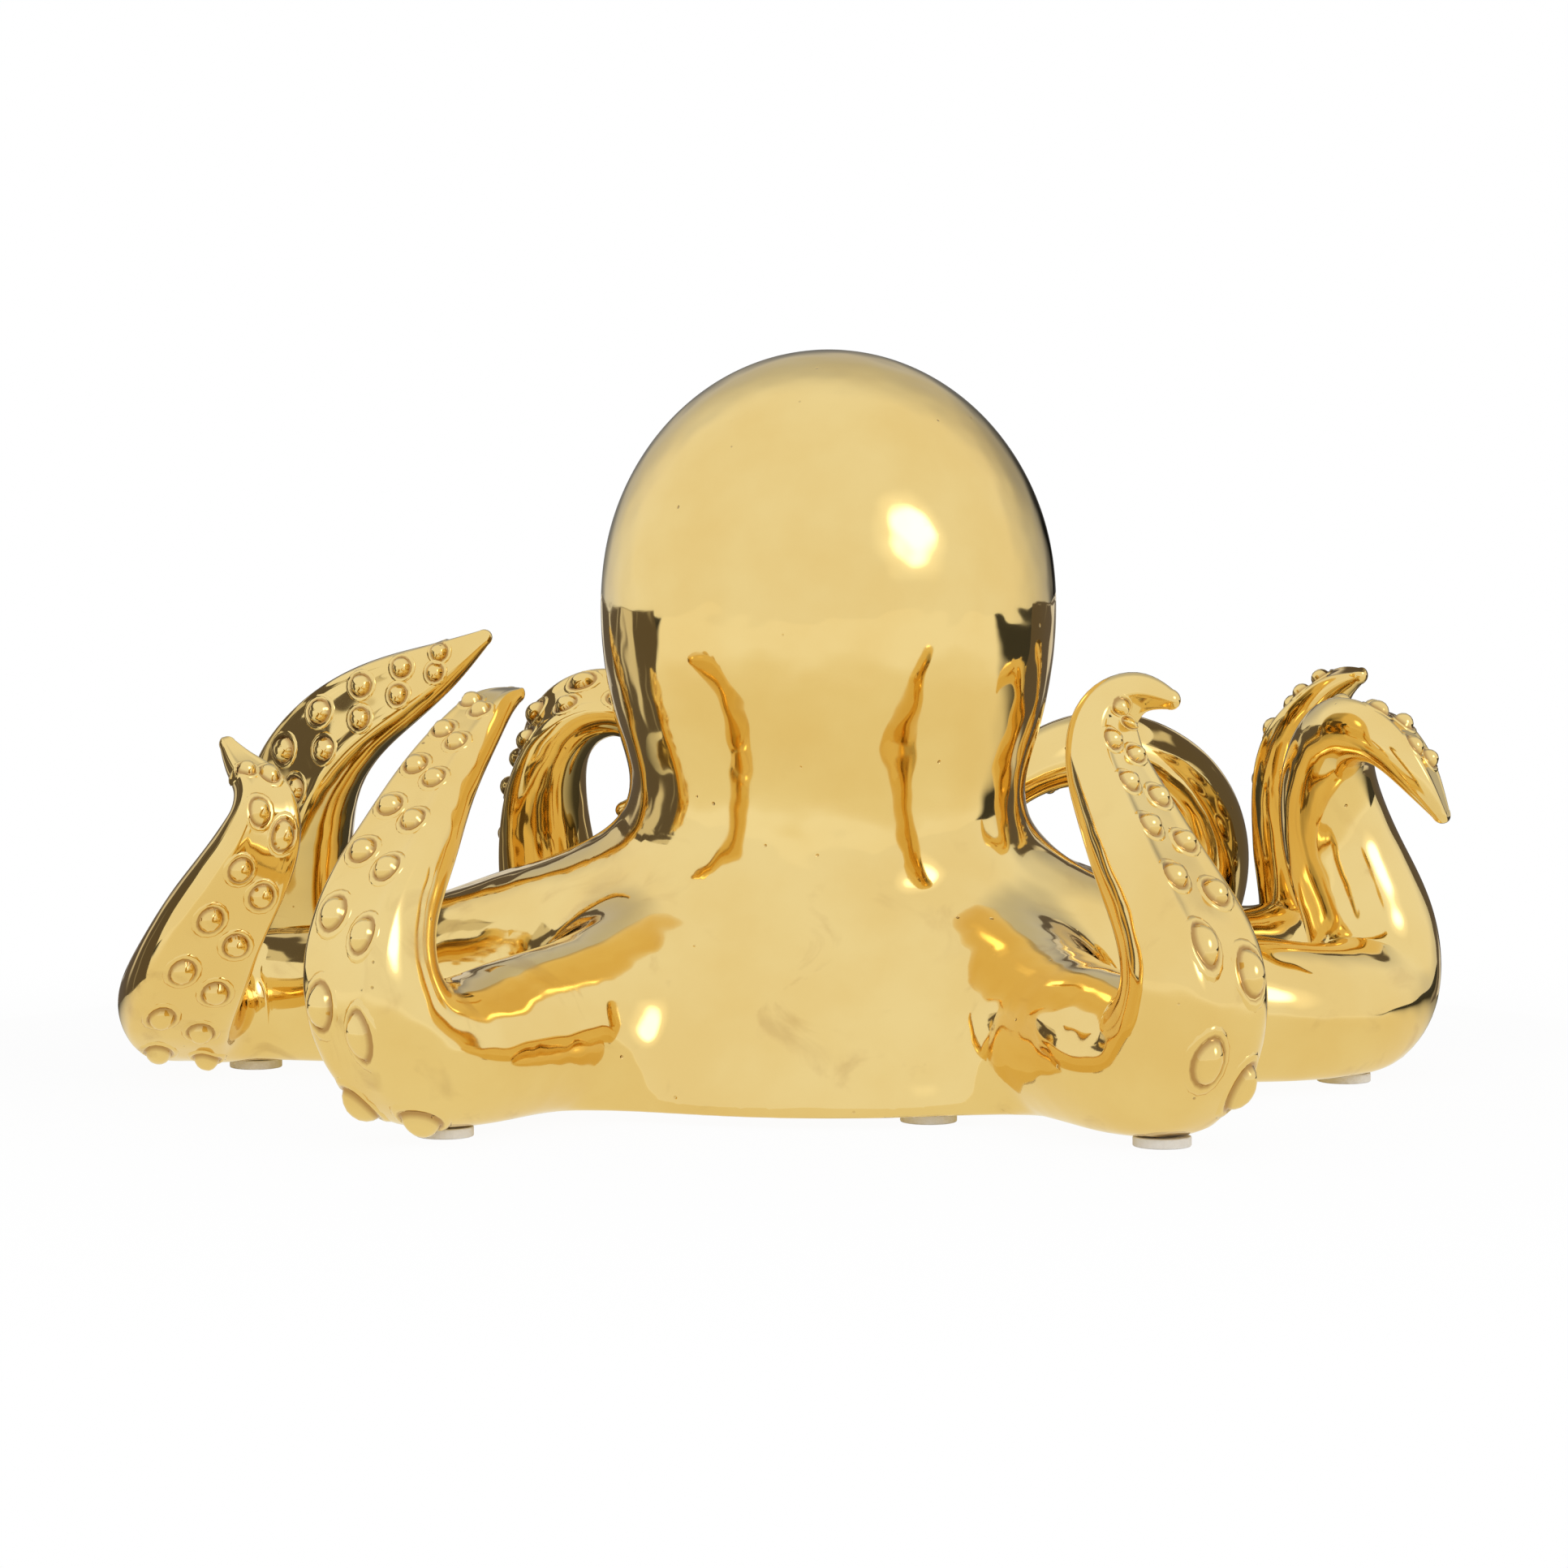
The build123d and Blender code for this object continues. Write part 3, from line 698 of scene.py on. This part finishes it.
for name, arm in arms.items():
    rows = ceil((arm.length - arm.joint) / ROW_STEP) + 1
    walked = np.concatenate([np.linspace(arm.joint, arm.length, rows), np.full(TIP_ROWS, arm.length)])
    tip_turn = np.concatenate([np.zeros(rows), np.linspace(0, pi / 2, TIP_ROWS + 1)[1:]])
    along, around = grid_turns(rows + TIP_ROWS, COLUMNS)
    centre, heading, face, side, radius, level = arm.section(walked[along])
    turn = tip_turn[along]
    reach = radius * np.cos(turn) * girth(half_turned(around), level)
    ahead = heading * (radius * np.sin(turn) * TIP_LENGTH_SHARE)[:, None]
    places = centre + ahead + ring(around, side, face) * reach[:, None]
    low = np.flatnonzero(walked[along] < arm.rooted)
    places[low] = laid(places[low], heading[low] * (along[low] == 0)[:, None])
    bm = bmesh.new()
    # The groove layer carries that nearness to the lustre, which browns the groove with painted shade.
    groove = bm.verts.layers.float.new("groove")
    wrap(bm, rows + TIP_ROWS, COLUMNS, places)
    rim = [edge for edge in bm.edges if edge.is_boundary]
    bmesh.ops.holes_fill(bm, edges=rim, sides=0)
    for edge in rim:
        edge.smooth = False
    for row in (-1, 1):
        at = arm.pad + SUCKERS_START_AFTER_PAD
        while at < arm.length - SUCKERS_END_BEFORE_TIP:
            _, _, face, _, radius, _ = (part[0] for part in arm.section(np.array([at])))
            size = SUCKER_LEAST + radius * SUCKER_GROWTH
            middle = at + (ROW_LAG_SHARE * size if row > 0 else 0)
            across = row * ROW_OUT_SHARE * radius
            walks = np.clip(middle + sucker_corners[:, 0] * size, 0, arm.length)
            base = on_face(arm, walks, across + sucker_corners[:, 1] * size)
            foot, onward, aside = on_face(
                arm, np.array([middle, middle + 1, middle]), np.array([across, across, across + 1])
            )
            normal = unit(np.cross(aside - foot, onward - foot))
            normal = normal if normal.dot(face) > 0 else -normal
            at += SUCKER_PITCH_SHARE * size
            places = base + normal * (sucker_corners[:, 2] * size)[:, None]
            if places[:, 2].min() < OVER_FLOOR:
                continue
            verts = [bm.verts.new((place + HEAD_AXIS) * MM) for place in places]
            for vert, depth in zip(verts, sucker_depths):
                vert[groove] = depth
            for corners in sucker_faces:
                bm.faces.new([verts[i] for i in corners])
    bmesh.ops.recalc_face_normals(bm, faces=bm.faces)
    smooth_but_caps(bm)
    piece = to_scene(f"arm_{name}_skin", bm)
    piece.data.materials.append(lustre)
    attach(piece, "root")
    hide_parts(f"arm_{name}")

# The pads are round self-adhesive felt discs, pressed under each arm and under the front of the
# web so that the glazed foot doesn't scratch the table.
PAD_RADIUS = 7.0
PAD_CORNERS = 48
PAD_EDGE = 0.35
WEB_PAD_PLACE = (24.0, -71.0, 0.0)
FELT_SHADED = (0.82, 0.81, 0.79, 1)
FELT_PALE = (0.94, 0.935, 0.92, 1)
FIBRE_HEIGHT = 0.0004
pad_places = {name: arm.section(np.array([arm.pad]))[0][0] for name, arm in arms.items()}
pad_places["web"] = np.array(WEB_PAD_PLACE)
felt = bpy.data.materials.new("pale_felt")
tree, output = nodes_of(felt)
coords = tree.nodes.new("ShaderNodeTexCoord")
fibres = noise(tree, coords.outputs["Object"], 900.0, 5.0)
bump = add_node(tree, "ShaderNodeBump", Strength=0.5, Distance=FIBRE_HEIGHT, Height=fibres)
shader = add_node(
    tree, "ShaderNodeBsdfPrincipled", Base_Color=mixed(tree, fibres, FELT_SHADED, FELT_PALE),
    Roughness=0.9, Normal=bump.outputs["Normal"],
)
tree.links.new(shader.outputs["BSDF"], output.inputs["Surface"])
for name, place in pad_places.items():
    bm = bmesh.new()
    disc = bmesh.ops.create_circle(bm, cap_ends=True, radius=PAD_RADIUS * MM, segments=PAD_CORNERS)["verts"]
    bmesh.ops.translate(bm, verts=disc, vec=((place + HEAD_AXIS) * MM * (1, 1, 0)).tolist())
    raised = bmesh.ops.extrude_face_region(bm, geom=bm.faces[:])["geom"]
    raised = [part for part in raised if isinstance(part, bmesh.types.BMVert)]
    bmesh.ops.translate(bm, verts=raised, vec=(0, 0, SEAT_HEIGHT * MM))
    bmesh.ops.recalc_face_normals(bm, faces=bm.faces)
    rims = [edge for edge in bm.edges if abs(edge.verts[0].co.z - edge.verts[1].co.z) < 1e-6]
    bmesh.ops.bevel(
        bm, geom=rims, offset=PAD_EDGE * MM, offset_type="OFFSET", segments=3, profile=0.5,
        affect="EDGES", material=-1,
    )
    smooth_but_caps(bm)
    piece = to_scene(f"pad_{name}_felt", bm)
    piece.data.materials.append(felt)
    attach(piece, "root")
    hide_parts(f"pad_{name}")

# The stage is a pale floor in a white tent that is open to the dark room behind, with a soft round
# lamp in front on the right. To reflections only, the floor is painted dark behind the figurine and
# painted with warm light near it. A bent card stands behind the figurine, hidden from the camera,
# for the mirror finish to reflect; it glows dimly by itself, painted with the light and shade of a
# folded cloth.
FLOOR_REACH = 4.0
FLOOR_GREY = (0.90, 0.90, 0.90, 1)
WHITE = (1.0, 1.0, 1.0, 1)
WARM_PAINTED_LIGHT = (0.90, 0.85, 0.70, 1)
scene = bpy.context.scene
bm = bmesh.new()
bmesh.ops.create_grid(bm, x_segments=1, y_segments=1, size=FLOOR_REACH)
floor = to_scene("floor", bm)
floor_material = bpy.data.materials.new("pale_floor")
tree, output = nodes_of(floor_material)
light_path = tree.nodes.new("ShaderNodeLightPath")
mirrored = light_path.outputs["Is Glossy Ray"]
coords = tree.nodes.new("ShaderNodeTexCoord")
matt = add_node(tree, "ShaderNodeBsdfDiffuse", Color=FLOOR_GREY)
span = add_node(tree, "ShaderNodeVectorMath", [("operation", "LENGTH")], _0=coords.outputs["Object"])
far_off = span.outputs["Value"]
behind = add_node(tree, "ShaderNodeSeparateXYZ", Vector=coords.outputs["Object"]).outputs["Y"]
# Painted darkness: behind the figurine the floor goes dark to reflections, though the camera still sees it
# white.
painted_dark_behind = product(tree, stepped(tree, behind, 0.02, 0.16, 0.95), mirrored)
# Painted warm light: near the figurine the floor shows warm to reflections.
painted_warm_light = product(tree, rest_of(tree, stepped(tree, far_off, 0.2, 0.9)), mirrored)
white = add_node(
    tree, "ShaderNodeEmission", Color=mixed(tree, painted_warm_light, WHITE, WARM_PAINTED_LIGHT), Strength=rest_of(tree, painted_dark_behind)
)
seen = math_node(tree, "MAXIMUM", light_path.outputs["Is Camera Ray"], mirrored)
shadow_share = product(tree, rest_of(tree, stepped(tree, far_off, 0.12, 0.42)), 0.05)
mix = add_node(
    tree, "ShaderNodeMixShader", _0=product(tree, seen, rest_of(tree, shadow_share)),
    _1=matt.outputs["BSDF"], _2=white.outputs["Emission"],
)
tree.links.new(mix.outputs["Shader"], output.inputs["Surface"])
floor.data.materials.append(floor_material)

CARD_RADIUS = 0.27
CARD_HEIGHT = 0.122
CARD_FOOT_HEIGHT = 0.001
CARD_ROOF_SHARE = 0.62
CARD_TURNS = range(20, 184, 4)
CLOTH_SHADED_GLOW = (0.12, 0.10, 0.085, 1)
CLOTH_LIT_GLOW = (0.70, 0.66, 0.58, 1)
bm = bmesh.new()
top_edge = [
    bm.verts.new((CARD_RADIUS * cos(radians(turn)), CARD_RADIUS * sin(radians(turn)), CARD_HEIGHT))
    for turn in CARD_TURNS
]
top_line = [bm.edges.new(pair) for pair in zip(top_edge, top_edge[1:])]
for reach, up in ((1.0, CARD_FOOT_HEIGHT), (CARD_ROOF_SHARE, CARD_HEIGHT)):
    for part in bmesh.ops.extrude_edge_only(bm, edges=top_line)["geom"]:
        if isinstance(part, bmesh.types.BMVert):
            part.co = (part.co.x * reach, part.co.y * reach, up)
card = to_scene("dark_card", bm)
card_material = bpy.data.materials.new("dim_glowing_card")
tree, output = nodes_of(card_material)
coords = tree.nodes.new("ShaderNodeTexCoord")
# The card glows by itself though it is no lamp, painted with the lit streaks and shade of a folded cloth.
painted_folds = add_node(tree, "ShaderNodeMapping", Vector=coords.outputs["Object"], Scale=(15.0, 15.0, 4.0))
painted_folds = stepped(tree, noise(tree, painted_folds.outputs["Vector"], 1.0, 2.0, 0.6), 0.52, 0.60)
card_glow = add_node(tree, "ShaderNodeEmission", Color=mixed(tree, painted_folds, CLOTH_SHADED_GLOW, CLOTH_LIT_GLOW))
tree.links.new(card_glow.outputs["Emission"], output.inputs["Surface"])
card.data.materials.append(card_material)
card.visible_camera = False

# The dark room shows through openings in the tent. Each has its direction, the cosines of the
# angle off it where the opening starts and where it is full, and how much light it takes away.
TENT_LEVEL = 0.95
room_openings = (
    ((0.07, 0.93, 0.36), 0.58, 0.95, 0.38),
    ((0.05, 0.99, -0.10), 0.82, 0.97, 0.38),
    ((0.62, 0.78, 0.00), 0.80, 0.97, 0.24),
    ((-0.60, 0.80, -0.05), 0.88, 0.97, 0.08),
)
LAMP_DIRECTION = (0.64, -0.62, 0.45)
lamp_glows = ((0.970, 0.993, 2.4), (0.93, 0.985, 0.25))
world = bpy.data.worlds.new("tent")
scene.world = world
world.use_nodes = True
tree = world.node_tree
tree.nodes.clear()
output = tree.nodes.new("ShaderNodeOutputWorld")
view = tree.nodes.new("ShaderNodeTexCoord").outputs["Generated"]


def toward(direction, low, high, level):
    """A soft-edged patch of the surroundings: a level where the view turns toward a direction."""
    dot = add_node(tree, "ShaderNodeVectorMath", [("operation", "DOT_PRODUCT")], _0=view, _1=direction)
    return stepped(tree, dot.outputs["Value"], low, high, level)


level = TENT_LEVEL
for direction, low, high, depth in room_openings:
    level = rest_of(tree, toward(direction, low, high, depth), level)
for low, high, glow in lamp_glows:
    level = math_node(tree, "ADD", level, toward(LAMP_DIRECTION, low, high, glow))
surroundings = add_node(tree, "ShaderNodeBackground", Color=WHITE, Strength=level)
backdrop = add_node(tree, "ShaderNodeBackground", Color=WHITE)
mix = add_node(
    tree, "ShaderNodeMixShader", _0=tree.nodes.new("ShaderNodeLightPath").outputs["Is Camera Ray"],
    _1=surroundings.outputs["Background"], _2=backdrop.outputs["Background"],
)
tree.links.new(mix.outputs["Shader"], output.inputs["Surface"])

# The camera stands where the photograph was taken from. The photograph's side, focal length and
# rows are in its pixels.
PHOTO_SIDE = 1932.0
FOCAL_LENGTH = 5750.0
MIDDLE_ROW = 966.0
LEVEL_ROW = 577.0
SENSOR_WIDTH = 36.0
CAMERA_PLACE = (0.00021, -1.20606, 0.160)
camera_data = bpy.data.cameras.new("camera")
camera = bpy.data.objects.new("camera", camera_data)
scene.collection.objects.link(camera)
camera_data.sensor_width = SENSOR_WIDTH
camera_data.lens = FOCAL_LENGTH / PHOTO_SIDE * SENSOR_WIDTH
camera_data.clip_start = 0.05
camera_data.clip_end = 30.0
camera.location = CAMERA_PLACE
camera.rotation_euler = (pi / 2 - atan((MIDDLE_ROW - LEVEL_ROW) / FOCAL_LENGTH), 0, 0)
scene.camera = camera
scene.view_settings.view_transform = "Standard"
